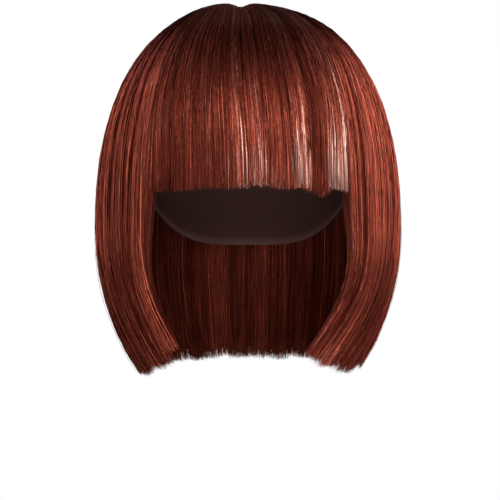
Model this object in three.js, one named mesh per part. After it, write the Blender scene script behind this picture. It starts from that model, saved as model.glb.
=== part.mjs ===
// A chin-length bob wig with a full straight fringe, in the form it has when worn:
// a thin stretch cap that the wearer puts on, and seven hair sections that start at
// one whorl on the crown, lie on the cap and hang below its rim, tips turned under.
// Millimetres, +Z up. The wearer looks along -Y, and the wearer's left is +X.
// The origin is the top of the cap's inside, where it rests on the wearer.
import * as THREE from "three";

// Hollow that the wig keeps open for its wearer
const headHalfBreadth = 76;
const headHalfLength = 96;
const headCrownHeight = 85; // from the hollow's widest level up to its top
const headJawHeight = 142; // from that level down to its bottom

// Cap
const capThickness = 1.5;
const capFrontDrop = 50; // from the top of the hollow to the front of the rim
const capNapeDrop = 148;
const capEarDrop = 98;

// Outer form of the hair, measured from the hollow
const crownRise = 13;
const sideStandoff = 27;
const frontStandoff = 13;
const backStandoff = 23;
const widestDrop = 137;
const hemDrop = 236;
const fringeDrop = 112;
const sideTuckDepth = 31; // how far the tips turn under
const frontTuckDepth = 40;
const backTuckDepth = 34;
const fringeTuckDepth = 6;

// How square the dome is: 2 is an ellipse
const sideSquareness = 2.3;
const frontSquareness = 2.6;
const backSquareness = 2.4;
// How late the tips turn under: 1 is a straight slope
const sideTuckPower = 2.2;
const frontTuckPower = 1.4;
const backTuckPower = 2.6;

// Whorl where all the hair starts, in a short dimple that runs front to back
const whorlOffset = 6; // towards the wearer's right
const whorlFadeShare = 0.22; // share of a strand's length over which that offset fades
const whorlRadius = 3;
const dimpleDepth = 4;
const dimpleHalfWidth = 5;
const dimpleHalfLength = 36;

// Thickness of the hair, and the relief of its locks
const sideThickness = 14;
const fringeThickness = 9;
const grooveDepth = 3;
const grooveLimitShare = 0.45; // as a share of the thickness there
const lockRise = 1.6;
const hemRaggedLength = 7;
const fringeRaggedLength = 6;
const lockPointShare = 0.6; // how much of the raggedness a lock's middle hangs below its edges

// Clearances
const seatGap = 0.9; // hair above the cap
const sectionGap = 1; // between two neighbouring sections

// Fineness of the facets
const columnsPerLock = 4;
const hairRows = 15;
const fringeRows = 11;
const capColumns = 36;
const capRows = 9;

const hairColour = 0x6f2a1c;
const capColour = 0x1d1311;

const halfWidth = headHalfBreadth + sideStandoff;
const frontReach = headHalfLength + frontStandoff;
const backReach = headHalfLength + backStandoff;
const domeHeight = widestDrop + crownRise;
const widestShare = 0.66; // of a strand's length, from the whorl to the widest level
const browShare = 0.6;
const jawShare = 0.83;

// Lines between the sections at four shares of a strand's length, in degrees from
// straight ahead towards the wearer's left
const partings = {
  backRight: { whorl: -180, brow: -180, jaw: -180, hem: -180 },
  earRight: { whorl: -124, brow: -119, jaw: -118, hem: -116 },
  templeRight: { whorl: -80, brow: -70, jaw: -68, hem: -64 },
  faceRight: { whorl: -49, brow: -40, jaw: -41, hem: -32 },
  faceLeft: { whorl: 48, brow: 41, jaw: 41, hem: 25 },
  templeLeft: { whorl: 80, brow: 71, jaw: 69, hem: 60 },
  earLeft: { whorl: 124, brow: 119, jaw: 118, hem: 114 },
  backLeft: { whorl: 180, brow: 180, jaw: 180, hem: 180 },
};

// Thickness along a strand, as shares of sideThickness and of fringeThickness
const thicknessRows = [
  { at: 0, side: 1.3, fringe: 1.8 },
  { at: 0.33, side: 1.35, fringe: 1.6 },
  { at: 0.48, side: 1.1, fringe: 1.1 },
  { at: 0.62, side: 0.95, fringe: 0.5 },
  { at: 0.82, side: 0.8, fringe: 0.5 },
  { at: 1, side: 0.42, fringe: 0.5 },
];

// How strongly the locks stand out along a strand
const reliefRows = [
  { at: 0, share: 0.08 },
  { at: 0.3, share: 0.4 },
  { at: 0.6, share: 0.75 },
  { at: 1, share: 1 },
];

// How far the hem lies above hemDrop all the way round, as a share of hemLift
const hemLift = 18;
const hemRows = [
  { at: -180, share: 0.55 },
  { at: -110, share: 0.3 },
  { at: -70, share: 0.15 },
  { at: -50, share: 0.35 },
  { at: -32, share: 1.3 },
  { at: 25, share: 0.45 },
  { at: 50, share: 0.35 },
  { at: 80, share: 0.45 },
  { at: 110, share: 0.5 },
  { at: 180, share: 0.55 },
];

// Locks of a section in the order of rising degrees. width is relative, stand is a
// share of lockRise, tip is a share of the raggedness by which the lock ends below
// its section's own edge, and cut is a share of grooveDepth on its far side.
const lockRows = {
  fringe: [
    { width: 22, stand: 0.3, tip: 0.4, cut: 0.7 },
    { width: 24, stand: 0.9, tip: 0.2, cut: 1 },
    { width: 22, stand: 0.2, tip: -0.1, cut: 0.4 },
    { width: 22, stand: 1, tip: 0.1, cut: 0.8 },
    { width: 16, stand: -0.4, tip: -0.4, cut: 0.9 },
    { width: 24, stand: 0.9, tip: 0, cut: 0.5 },
    { width: 20, stand: -0.3, tip: -0.3, cut: 1 },
    { width: 20, stand: 1, tip: 0.9, cut: 0.8 },
    { width: 14, stand: -0.5, tip: -0.2, cut: 1 },
    { width: 16, stand: 0.2, tip: 0.3, cut: 0.6 },
  ],
  temple: [
    { width: 20, stand: 0.2, tip: -0.5, cut: 0.6 },
    { width: 26, stand: 1, tip: 0, cut: 1 },
    { width: 16, stand: 0, tip: -0.2, cut: 0.7 },
    { width: 24, stand: 0.8, tip: 0.2, cut: 0.5 },
  ],
  side: [
    { width: 20, stand: 1, tip: 0.5, cut: 0.9 },
    { width: 14, stand: -0.2, tip: 0.1, cut: 0.5 },
    { width: 24, stand: 0.7, tip: 0.4, cut: 1 },
    { width: 20, stand: 0.1, tip: 0, cut: 0.6 },
    { width: 24, stand: 0.9, tip: 0.2, cut: 0.5 },
  ],
  back: [
    { width: 20, stand: 0.5, tip: 0.1, cut: 0.5 },
    { width: 26, stand: 0.9, tip: -0.2, cut: 0.9 },
    { width: 18, stand: 0, tip: 0.2, cut: 0.6 },
    { width: 24, stand: 0.8, tip: -0.1, cut: 1 },
    { width: 20, stand: 0.3, tip: 0.2, cut: 0.5 },
    { width: 22, stand: 0.7, tip: 0, cut: 0.5 },
  ],
};

// Sections in the order of rising degrees. freeEdge is the side of a temple lock
// that hangs free in front: 0 is its from side and 1 its to side.
const sections = [
  { name: "back_hair_right", kind: "back", from: "backRight", to: "earRight" },
  { name: "side_hair_right", kind: "side", from: "earRight", to: "templeRight" },
  { name: "temple_lock_right", kind: "temple", from: "templeRight", to: "faceRight", freeEdge: 1 },
  { name: "fringe", kind: "fringe", from: "faceRight", to: "faceLeft" },
  { name: "temple_lock_left", kind: "temple", from: "faceLeft", to: "templeLeft", freeEdge: 0 },
  { name: "side_hair_left", kind: "side", from: "templeLeft", to: "earLeft" },
  { name: "back_hair_left", kind: "back", from: "earLeft", to: "backLeft" },
];

// The free edge of a temple lock is thinner than the rest of it
const freeEdgeShare = 0.4; // of the thickness
const freeEdgeWidth = 0.45; // of the section's width

const { lerp, degToRad, radToDeg, smoothstep } = THREE.MathUtils;

// Value of a table's column at a place, eased between the rows on both sides.
function follow(rows, at, column) {
  const next = rows.findIndex((row) => row.at >= at);
  if (next === 0) return rows[0][column];
  if (next < 0) return rows[rows.length - 1][column];
  const before = rows[next - 1];
  const after = rows[next];
  return lerp(before[column], after[column], smoothstep(at, before.at, after.at));
}

// Direction of a parting, in radians, at a share of a strand's length.
function partingTurn(name, share) {
  const line = partings[name];
  const rows = [
    { at: 0, turn: line.whorl },
    { at: browShare, turn: line.brow },
    { at: jawShare, turn: line.jaw },
    { at: 1, turn: line.hem },
  ];
  return degToRad(follow(rows, share, "turn"));
}

// Reach, squareness and tuck of the outer form in one direction.
function formAt(turn) {
  const facing = Math.cos(turn) ** 2; // 1 straight ahead and behind, 0 to the sides
  const ahead = Math.cos(turn) > 0;
  const reach = ahead ? frontReach : backReach;
  return {
    reach,
    spread: Math.hypot(halfWidth * Math.sin(turn), reach * Math.cos(turn)),
    squareness: lerp(sideSquareness, ahead ? frontSquareness : backSquareness, facing),
    tuck: lerp(sideTuckDepth / halfWidth, (ahead ? frontTuckDepth : backTuckDepth) / reach, facing),
    tuckPower: lerp(sideTuckPower, ahead ? frontTuckPower : backTuckPower, facing),
  };
}

// Outer form of the hair: a square-shouldered dome down to the widest level, then
// a skirt whose tips turn under. turn is in radians, share runs down a strand.
function outerPoint(turn, share) {
  const form = formAt(turn);
  let out;
  let drop;
  if (share < widestShare) {
    const slope = (share / widestShare) * (Math.PI / 2);
    out = Math.sin(slope) ** (2 / form.squareness);
    drop = widestDrop - domeHeight * Math.cos(slope) ** (2 / form.squareness);
  } else {
    const below = (share - widestShare) / (1 - widestShare);
    out = 1 - form.tuck * below ** form.tuckPower;
    drop = lerp(widestDrop, hemDrop, below);
  }
  const aside = halfWidth * out * Math.sin(turn);
  const ahead = form.reach * out * Math.cos(turn);
  const near = (aside / dimpleHalfWidth) ** 2 + (ahead / dimpleHalfLength) ** 2;
  const shift = -whorlOffset * (1 - smoothstep(share, 0, whorlFadeShare));
  return new THREE.Vector3(shift + aside, -ahead, -drop - dimpleDepth * Math.exp(-near));
}

// Outward direction of the outer form.
function outerNormal(turn, share) {
  const step = 1e-3;
  const along = outerPoint(turn, share + step).sub(outerPoint(turn, Math.max(share - step, 0)));
  const across = outerPoint(turn + step, share).sub(outerPoint(turn - step, share));
  return along.cross(across).normalize();
}

// Turn that moves a point of the outer form sideways by a distance.
function turnFor(distance, turn, share) {
  const step = 1e-3;
  return (distance * step) / outerPoint(turn, share).distanceTo(outerPoint(turn + step, share));
}

// Share of a strand's length at which it is a given way below the hollow's top.
function shareAtDrop(turn, drop) {
  if (drop > widestDrop) {
    return lerp(widestShare, 1, (drop - widestDrop) / (hemDrop - widestDrop));
  }
  const up = (widestDrop - drop) / domeHeight;
  const slope = Math.acos(up ** (formAt(turn).squareness / 2));
  return (widestShare * slope) / (Math.PI / 2);
}

// Share of a strand's length at which it leaves the whorl.
function shareAtWhorl(turn) {
  const form = formAt(turn);
  const slope = Math.asin((whorlRadius / form.spread) ** (form.squareness / 2));
  return (widestShare * slope) / (Math.PI / 2);
}

// Moves a point that lies too deep up to the seat of the hair above the cap.
function seatOnCap(point) {
  const clear = capThickness + seatGap;
  const middle = new THREE.Vector3(0, 0, -headCrownHeight);
  const away = point.clone().sub(middle);
  const height = away.z > 0 ? headCrownHeight : headJawHeight;
  const depth = Math.hypot(
    away.x / (headHalfBreadth + clear),
    away.y / (headHalfLength + clear),
    away.z / (height + clear),
  );
  return depth < 1 ? middle.addScaledVector(away, 1 / depth) : point;
}

// Columns of a section: their place across it, their lock, and how near they are
// to the lock's edge. A column between two locks is listed once.
function columnsOf(locks) {
  const total = locks.reduce((sum, lock) => sum + lock.width, 0);
  const columns = [{ across: 0, lock: locks[0], edge: 1 }];
  let start = 0;
  for (const lock of locks) {
    for (let i = 1; i <= columnsPerLock; i += 1) {
      const place = i / columnsPerLock;
      const across = (start + lock.width * place) / total;
      columns.push({ across, lock, edge: Math.abs(2 * place - 1) ** 3 });
    }
    start += lock.width;
  }
  return columns;
}

// How far below the hollow's top a column of a section ends.
function endDrop(section, column) {
  const isFringe = section.kind === "fringe";
  const hemTurn = lerp(partingTurn(section.from, 1), partingTurn(section.to, 1), column.across);
  const edge = isFringe ? fringeDrop : hemDrop - hemLift * follow(hemRows, radToDeg(hemTurn), "share");
  const raggedness = isFringe ? fringeRaggedLength : hemRaggedLength;
  return edge + raggedness * (column.lock.tip - lockPointShare * column.edge);
}

// Thickness of the hair at a place on a section.
function thicknessAt(section, column, share) {
  if (section.kind === "fringe") {
    return fringeThickness * follow(thicknessRows, share, "fringe");
  }
  const full = sideThickness * follow(thicknessRows, share, "side");
  if (section.freeEdge === undefined) return full;
  const inside = smoothstep(Math.abs(column.across - section.freeEdge), 0, freeEdgeWidth);
  const hanging = smoothstep(share, 0.45, jawShare);
  return full * lerp(1, lerp(freeEdgeShare, 1, inside), hanging);
}

// Outer and inner point of the hair at a place on a section.
function wallAt(section, column, share, endShare) {
  const from = partingTurn(section.from, share);
  const to = partingTurn(section.to, share);
  const inset = turnFor(sectionGap / 2, from, share);
  const turn = lerp(from + inset, to - turnFor(sectionGap / 2, to, share), column.across);
  const thickness = thicknessAt(section, column, share);
  const relief = follow(reliefRows, share, "share");
  const deepest = Math.min(grooveDepth * relief * column.lock.cut, thickness * grooveLimitShare);
  const rise = lockRise * relief * column.lock.stand * (1 - column.edge);
  const curl = section.kind === "fringe" ? fringeTuckDepth * smoothstep(share, 0.38, endShare) ** 2 : 0;
  const normal = outerNormal(turn, share);
  const surface = outerPoint(turn, share);
  return {
    outer: surface.clone().addScaledVector(normal, rise - deepest * column.edge - curl),
    inner: seatOnCap(surface.addScaledVector(normal, -thickness - curl)),
  };
}

// Hair section: a curved wall with raised locks outside and a smooth inside.
function hairSection(section) {
  const rowCount = section.kind === "fringe" ? fringeRows : hairRows;
  const columns = columnsOf(lockRows[section.kind]);
  const outer = [];
  const inner = [];
  for (let row = 0; row <= rowCount; row += 1) {
    const walls = columns.map((column) => {
      const turn = lerp(
        partingTurn(section.from, browShare),
        partingTurn(section.to, browShare),
        column.across,
      );
      const endShare = shareAtDrop(turn, endDrop(section, column));
      return wallAt(section, column, lerp(shareAtWhorl(turn), endShare, row / rowCount), endShare);
    });
    outer.push(walls.map((wall) => wall.outer));
    inner.push(walls.map((wall) => wall.inner));
  }
  return wallGeometry(outer, inner);
}

// Drop of the cap's rim, highest in front and lowest behind.
function rimDrop(turn) {
  const behind = (1 - Math.cos(turn)) / 2; // 0 in front, 1 behind
  if (behind < 0.5) return lerp(capFrontDrop, capEarDrop, smoothstep(behind, 0, 0.5));
  return lerp(capEarDrop, capNapeDrop, smoothstep(behind, 0.5, 1));
}

// Cap surface point at a direction and a share of the way from its top to its rim.
function capPoint(turn, share, thickness) {
  const rim = rimDrop(turn);
  const lowest = rim < headCrownHeight
    ? Math.acos(1 - rim / headCrownHeight)
    : Math.PI / 2 + Math.asin((rim - headCrownHeight) / headJawHeight);
  const slope = share * lowest;
  const height = slope < Math.PI / 2 ? headCrownHeight : headJawHeight;
  return new THREE.Vector3(
    (headHalfBreadth + thickness) * Math.sin(slope) * Math.sin(turn),
    -(headHalfLength + thickness) * Math.sin(slope) * Math.cos(turn),
    (height + thickness) * Math.cos(slope) - headCrownHeight,
  );
}

// Cap: a thin bowl that is open at the bottom.
function cap() {
  const bowl = (thickness) => {
    const rows = [];
    for (let row = 0; row <= capRows; row += 1) {
      rows.push([]);
      for (let i = 0; i <= capColumns; i += 1) {
        const turn = (2 * Math.PI * i) / capColumns;
        rows[row].push(capPoint(turn, row / capRows, thickness));
      }
    }
    return rows;
  };
  return wallGeometry(bowl(capThickness), bowl(0));
}

// Closed wall between an outer and an inner grid of points, whose rows run from the
// crown down. Points that meet become one, and faces without area are left out.
function wallGeometry(outer, inner) {
  const positions = [];
  const known = new Map();
  const faces = [];
  const indexOf = (point) => {
    const key = point.toArray().map((value) => Math.round(value * 1e3)).join();
    if (!known.has(key)) {
      known.set(key, positions.length / 3);
      positions.push(...point.toArray());
    }
    return known.get(key);
  };
  const face = (a, b, c) => {
    if (a !== b && b !== c && c !== a) faces.push(a, b, c);
  };
  const quad = (...corners) => {
    const [a, b, c, d] = corners.map(indexOf);
    face(a, b, c);
    face(a, c, d);
  };
  const end = outer.length - 1;
  const side = outer[0].length - 1;
  const isRing = indexOf(outer[end][0]) === indexOf(outer[end][side]);
  const isPole = indexOf(outer[0][0]) === indexOf(outer[0][1]);
  for (let r = 0; r < end; r += 1) {
    for (let c = 0; c < side; c += 1) {
      quad(outer[r][c], outer[r + 1][c], outer[r + 1][c + 1], outer[r][c + 1]);
      quad(inner[r][c], inner[r][c + 1], inner[r + 1][c + 1], inner[r + 1][c]);
    }
    if (!isRing) {
      quad(outer[r][0], inner[r][0], inner[r + 1][0], outer[r + 1][0]);
      quad(outer[r][side], outer[r + 1][side], inner[r + 1][side], inner[r][side]);
    }
  }
  for (let c = 0; c < side; c += 1) {
    if (!isPole) quad(outer[0][c], outer[0][c + 1], inner[0][c + 1], inner[0][c]);
    quad(outer[end][c], inner[end][c], inner[end][c + 1], outer[end][c + 1]);
  }
  const geometry = new THREE.BufferGeometry();
  geometry.setAttribute("position", new THREE.Float32BufferAttribute(positions, 3));
  geometry.setIndex(faces);
  geometry.computeVertexNormals();
  return geometry;
}

const hairMaterial = new THREE.MeshStandardMaterial({ color: hairColour, roughness: 0.4 });
const capMaterial = new THREE.MeshStandardMaterial({ color: capColour, roughness: 0.9 });

const wig = new THREE.Group();
wig.name = "bob_wig";
const capMesh = new THREE.Mesh(cap(), capMaterial);
capMesh.name = "cap";
wig.add(capMesh);
for (const section of sections) {
  const mesh = new THREE.Mesh(hairSection(section), hairMaterial);
  mesh.name = section.name;
  wig.add(mesh);
}

export default wig;
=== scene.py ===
"""Looks of the bob wig: fine strands over closed hair bodies, and the net cap.

Directions are degrees from straight ahead towards the wearer's left. A share
runs down a strand, from 0 at the whorl to 1 at the hem, and across runs over a
section, from 0 to 1 as the direction grows. A pair named span holds where an
effect starts and where it is full, and other pairs hold a least and a most.
Sizes are millimetres until the mesh is made.
"""
import math
from types import SimpleNamespace

import bpy
import numpy as np
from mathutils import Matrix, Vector

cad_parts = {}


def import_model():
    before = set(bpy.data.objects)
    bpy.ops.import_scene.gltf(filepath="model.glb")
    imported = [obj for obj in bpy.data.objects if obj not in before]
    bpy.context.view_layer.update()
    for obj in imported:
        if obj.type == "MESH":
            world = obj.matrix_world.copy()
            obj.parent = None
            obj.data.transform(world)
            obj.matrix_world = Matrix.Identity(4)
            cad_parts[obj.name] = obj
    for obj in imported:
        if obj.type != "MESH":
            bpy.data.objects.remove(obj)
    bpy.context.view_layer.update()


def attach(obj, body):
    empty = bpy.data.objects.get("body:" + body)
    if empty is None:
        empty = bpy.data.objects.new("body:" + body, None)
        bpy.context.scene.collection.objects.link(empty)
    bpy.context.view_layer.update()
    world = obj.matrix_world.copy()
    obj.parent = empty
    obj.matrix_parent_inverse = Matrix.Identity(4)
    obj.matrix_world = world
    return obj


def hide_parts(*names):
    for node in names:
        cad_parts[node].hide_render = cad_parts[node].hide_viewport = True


MM = 0.001
TINY = 1e-6
RANDOM_SEED = 11
LAY_MAP = "lay"
STRAND_MAP = "OFBake"

# Hollow for the wearer, and cap
HEAD_HALF_BREADTH = 76
HEAD_HALF_LENGTH = 96
HEAD_CROWN_HEIGHT = 85
HEAD_JAW_HEIGHT = 142
CAP_THICKNESS = 1.5
CAP_FRONT_DROP = 50
CAP_EAR_DROP = 98
CAP_NAPE_DROP = 148
CAP_ROWS = 48
CAP_COLUMNS = 96
CAP_TOP_SHARE = 0.004
CAP_BAND_SPAN = (0.93, 0.945)
CAP_BAND_RISE = 0.2
NET_INSET = 0.3

# Outer form of the hair
HALF_WIDTH = 103
FRONT_REACH = 109
BACK_REACH = 119
CROWN_RISE = 13
WIDEST_DROP = 137
HEM_DROP = 236
FRINGE_DROP = 112
DOME_HEIGHT = WIDEST_DROP + CROWN_RISE
SIDE_TUCK, FRONT_TUCK, BACK_TUCK = 31, 40, 34
SIDE_TUCK_POWER, FRONT_TUCK_POWER, BACK_TUCK_POWER = 2.2, 1.4, 2.6
SIDE_SQUARENESS, FRONT_SQUARENESS, BACK_SQUARENESS = 2.3, 2.6, 2.4
FRINGE_TUCK = 6
WHORL_OFFSET = -6
WHORL_REACH = 0.22
DIMPLE_DEPTH = 4
DIMPLE_HALF_WIDTH = 5
DIMPLE_HALF_LENGTH = 36
WIDEST_SHARE = 0.66
BROW_SHARE = 0.6
JAW_SHARE = 0.83

# Thickness and relief of the hair
SIDE_THICKNESS = 14
FRINGE_THICKNESS = 9
GROOVE_DEPTH = 3
LOCK_RISE = 1.6
HEM_RAGGEDNESS = 7
FRINGE_RAGGEDNESS = 6
LOCK_POINT = 0.35
SEAT_GAP = 0.9
HEM_LIFT = 18
GROOVE_LIMIT = 0.45  # as a share of the thickness there
LOCK_EDGE_POWER = 3
SOFT_POINT = 0.15
OVERRUN = 1.2  # how far a curve carries on past its last place

# Edges of a section: a fade is a share of its width, and a start one of a strand
EDGE_FADE = 0.08
EDGE_GROOVE = 0.3
EDGE_TUCK = 0.3
EDGE_TUCK_FADE = 0.16
TUCK_START = 0.38
FREE_EDGE_THICKNESS = 0.4
FREE_EDGE_FADE = 0.45
FREE_EDGE_START = 0.45

PARTINGS = {
    "back_right": (-180, -180, -180, -180),
    "ear_right": (-124, -119, -118, -116),
    "temple_right": (-80, -70, -68, -64),
    "face_right": (-49, -40, -41, -32),
    "face_left": (48, 41, 41, 25),
    "temple_left": (80, 71, 69, 60),
    "ear_left": (124, 119, 118, 114),
    "back_left": (180, 180, 180, 180),
}
PARTING_SHARES = (0, BROW_SHARE, JAW_SHARE, 1)
THICKNESS_SHARES = (0, 0.33, 0.48, 0.62, 0.82, 1)
SIDE_THICKNESSES = (1.3, 1.35, 1.1, 0.95, 0.8, 0.42)
FRINGE_THICKNESSES = (1.8, 1.6, 1.1, 0.5, 0.5, 0.5)
RELIEF_SHARES = (0, 0.3, 0.6, 1)
RELIEFS = (0.08, 0.4, 0.75, 1)
HEM_TURNS = (-180, -110, -70, -50, -32, 25, 50, 80, 110, 180)
HEM_SHARES = (0.55, 0.3, 0.15, 0.35, 1.3, 0.72, 0.35, 0.45, 0.5, 0.55)

# Locks: relative width, stand, tip and cut
LOCKS = {
    "fringe": (
        (22, 0.3, 0.4, 0.7),
        (24, 0.9, 0.2, 1),
        (22, 0.2, -0.1, 0.4),
        (22, 1, 0.1, 0.8),
        (16, -0.4, -0.4, 0.9),
        (24, 0.9, 0, 0.5),
        (20, -0.3, -0.3, 1),
        (20, 1, 0.9, 0.8),
        (14, -0.5, -0.2, 1),
        (16, 0.2, 0.3, 0.6),
    ),
    "temple": (
        (20, 0.2, -0.5, 0.6),
        (26, 1, 0, 1),
        (16, 0, -0.2, 0.7),
        (24, 0.8, 0.2, 0.5),
    ),
    "side": (
        (20, 1, 0.5, 0.9),
        (14, -0.2, 0.1, 0.5),
        (24, 0.7, 0.4, 1),
        (20, 0.1, 0, 0.6),
        (24, 0.9, 0.2, 0.5),
    ),
    "back": (
        (20, 0.5, 0.1, 0.5),
        (26, 0.9, -0.2, 0.9),
        (18, 0, 0.2, 0.6),
        (24, 0.8, -0.1, 1),
        (20, 0.3, 0.2, 0.5),
        (22, 0.7, 0, 0.5),
    ),
}

# Sections: kind, from parting, to parting, side of the free edge, strands, steps
SECTIONS = {
    "back_hair_right": ("back", "back_right", "ear_right", None, 4000, 16),
    "side_hair_right": ("side", "ear_right", "temple_right", None, 3600, 18),
    "temple_lock_right": ("temple", "temple_right", "face_right", 1, 2800, 20),
    "fringe": ("fringe", "face_right", "face_left", None, 7000, 13),
    "temple_lock_left": ("temple", "face_left", "temple_left", 0, 2800, 20),
    "side_hair_left": ("side", "temple_left", "ear_left", None, 3600, 18),
    "back_hair_left": ("back", "ear_left", "back_left", None, 4000, 16),
}

# What differs between the fringe and the rest of the hair
FRINGE_STYLE = SimpleNamespace(
    bunches=(2, 4),  # in each lock: at least, and fewer than
    bunch_calm=0.5,
    bunch_roll=0.4,
    under_drop=44.0,  # where the inner layer starts
    raggedness=2.8,
    looseness=7,
    tone_spread=0.75,
    palest=0.86,
    groove=0.3,
    relief=0.3,
    # span over which the painted shade of the crown fades out
    painted_shade_span=(0.16, 0.56),
)
HAIR_STYLE = SimpleNamespace(
    bunches=(3, 6),
    bunch_calm=1,
    bunch_roll=1,
    under_drop=88.0,
    raggedness=1.0,
    looseness=5,
    tone_spread=0.9,
    palest=0.74,
    groove=2.2,
    relief=0.7,
    # span over which the painted shade of the crown fades out
    painted_shade_span=(0.06, 0.42),
)

# Hair bodies under the strands
BODY_ROWS = 34
BODY_COLUMNS = 49
BODY_OVERLAP = 0.004
BODY_SHORTENING = 4
BODY_SINK = 1.6
BODY_SINK_LIMIT = 0.35  # as a share of the thickness there
BODY_HEM_SINK = 1.25
BODY_HEM_SPAN = (0.8, 1)
BODY_INNER_SINK = 0.6

# Bunches and fine locks: how much one differs from the next
BUNCH_WIDTHS = (0.5, 1.5)
BUNCH_LENGTH = 0.5
BUNCH_SINK = 1.3
BUNCH_TONE = 0.085
BUNCH_ROLL = 0.12
FINE_LOCKS = (15, 24)  # in each lock: at least, and fewer than
FINE_LENGTH = 0.4
FINE_SINK = 0.4
FINE_TONE = 0.07
FINE_PACE = (0.8, 2.2)
FINE_ROLL = 0.12
FINE_PULL = (0.2, 0.6)

# Layers of strands, as shares of them all, and the wall of a free edge
WALL_CHANCE = 0.08
WALL_WIDTH = 0.006
BOLD_BELOW = 0.10
MIDDLE_ABOVE = 0.70
INNER_ABOVE = 0.84

# Roots and ends
ROOT_START = 0.0015
ROOT_SPREAD = 0.43
LOOSE_POWER = 6
MIDDLE_SHORTER = (2, 6)
END_GAIN = 1.2

# Depth under the outer form
TOP_DEPTH = 0.1
TOP_SPREAD = 1.0
TOP_POWER = 1.5
ROOT_DEPTH = 1.0
GAP_DEPTH = 1.2
GAP_POWER = 4
CROWN_GROOVE = 0.4
GROOVE_SPAN = (0.45, 0.75)
HEM_CALM = 0.6
HEM_CALM_SPAN = (0.84, 1)
BOLD_DEPTH = 0.5
MIDDLE_LAYER = (0.15, 0.9)  # as shares of the thickness there
INNER_LAYER = (0.2, 1.4)  # from the inner side
LATE_ROOT = 0.04
LATE_DEPTH = 2.5
LATE_SPAN = (0, 0.14)
WEAVE_DEPTH = 0.35
WEAVE_PACE = (4, 9)
WEAVE_SPAN = (0.1, 0.4)
LEAST_DEPTH = 0.05
INNER_CLEARANCE = 0.1
THINNEST = 0.06

# Wander of the strands
PULL_SPAN = (0.3, 1.0)
OVERLAP = 0.012
FREE_EDGE_INSET = 0.001
SWAY_PACE = (0.5, 2.2)
SWAY_SIZE = (0.1, 0.5)
SWAY_SPAN = (0, 0.5)
DRIFT = 2.8
DRIFT_SPAN = (0.36, 1)
FREE_EDGE_DRIFT = 0.25
FREE_EDGE_DRIFT_FADE = 0.12
PALE_CALM = 5
PALE_CALM_LIMIT = 0.9
FRINGE_DRIFT = 0.6
FRINGE_DRIFT_FADE = 0.1
FRINGE_DRIFT_SPAN = (0.2, 0.65)
FRINGE_LEAN = 8
LEAN_SPAN = (0.05, 0.5)
LEAN_LOSS = 0.85
LEAN_LOSS_SPAN = (0.75, 1.0)
STRAY_ABOVE = 0.985
STRAY_CLEARANCE = 0.2
STRAY_SPAN = (0.25, 1)
STRAY_LIFT = (0.2, 1.6)
STRAY_DRIFT = 6

# Ribbons
RIBBON_WIDTHS = (0.20, 0.34)
BOLD_WIDTH = 1.7
ROOT_WIDTH = 0.5
ROOT_WIDTH_SPAN = (0, 0.12)
TIP_WIDTH = 0.3
TIP_WIDTH_SPAN = (0.95, 1)
STRAND_ROLL = 0.3
STRAND_TWIST = 0.15

# Tones of the strands: 0 is the darkest and 1 the palest. Each shade here is painted shade.
MIDDLE_TONE = 0.5
SIDE_TONE = 0.02
LOCK_TONE = 0.07
STRAND_TONE = 0.10
BOLD_TONE = 0.12
TONE_WAVE = 0.09
STRAND_PACE = (1, 3)
GAP_SHADE = 0.25
GROOVE_SHADE = 0.35
HIGH_GROOVE_LESS_SHADE = 0.22
MIDDLE_SHADE = 0.15
INNER_SHADE = 0.3
# Painted light near a free edge, where light passes through thin hair and onto its shaded wall
FREE_EDGE_PAINTED_LIGHT = 0.08
FREE_EDGE_PAINTED_LIGHT_FADE = 0.15
FREE_EDGE_MIDDLE_PAINTED_LIGHT = 0.25
FREE_EDGE_INNER_PAINTED_LIGHT = 0.35
TIP_TONE = 0.14
TIP_SPAN = (0.92, 1)
TONE_LIMIT = 0.999

# Painted sheen on the temple locks, and painted light and painted shade on their free edge
TEMPLE_PAINTED_SHEEN = 0.08
SHEEN_SPAN = (0.2, 0.34)
SHEEN_END_SPAN = (0.5, 0.66)
TEMPLE_EDGE_FADE = 0.2
TEMPLE_EDGE_PAINTED_LIGHT = 0.08
TEMPLE_EDGE_PAINTED_SHADE = 0.2
TEMPLE_EDGE_SPAN = (0.65, 0.85)

# Painted shade on the tips at the right end of the fringe, and painted light showing through thin
# tips elsewhere
RIGHT_END = (0.3, 0.55)
RIGHT_TIP_PAINTED_SHADE = 0.12
RIGHT_TIP_SPAN = (0.7, 0.95)
FRINGE_TIP_PAINTED_LIGHT = 0.42
LIGHT_TIP_SPAN = (0.76, 0.96)
LIGHT_TIP_CHANCE = 0.3
LIGHT_TIP_GAIN = 2.0
LIGHT_TIP_CHANCES = (0.05, 0.7)

# How much lighter or darker each lock is, where the photograph shows it: painted shade on the temple
# locks, and on the fringe partly each lock's own tone and partly painted light and shade
LOCK_TONES = {
    "fringe": (0.06, 0.05, 0.03, 0.02, 0.07, -0.06, 0.12, -0.12, 0.16, 0.14),
    "temple_lock_right": (-0.14, -0.22, -0.11, -0.11),
    "temple_lock_left": (-0.14, -0.09, -0.13, -0.17),
}

# Painted highlight streaks of the fringe: place across it and strength
PAINTED_HIGHLIGHT_STREAKS = (
    (0.445, 0.16),
    (0.497, 0.28),
    (0.630, 0.22),
    (0.715, 0.50),
    (0.922, 0.50),
    (0.958, 0.32),
)
PALE_HALF_WIDTH = 0.0085
PALE_SPREAD = 0.0012
PALE_SPAN = (0.3, 0.5)

# Place of the strands in their map: a tone's column, and a row for painted shade
TONE_START, TONE_RANGE = 0.004, 0.992
RIBBON_COLUMNS = (-0.003, 0.003)
SHADE_START, SHADE_RANGE = 0.02, 0.96
OWN_LENGTH_SHADE = 0.15

# Colours of the strands by tone
STRAND_COLOURS = (
    (0.05, (0.045, 0.0056, 0.0031)),
    (0.45, (0.178, 0.0292, 0.0164)),
    (0.70, (0.270, 0.0585, 0.0360)),
    (0.90, (0.400, 0.1400, 0.1040)),
    (1.0, (0.700, 0.4100, 0.3400)),
)
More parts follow.
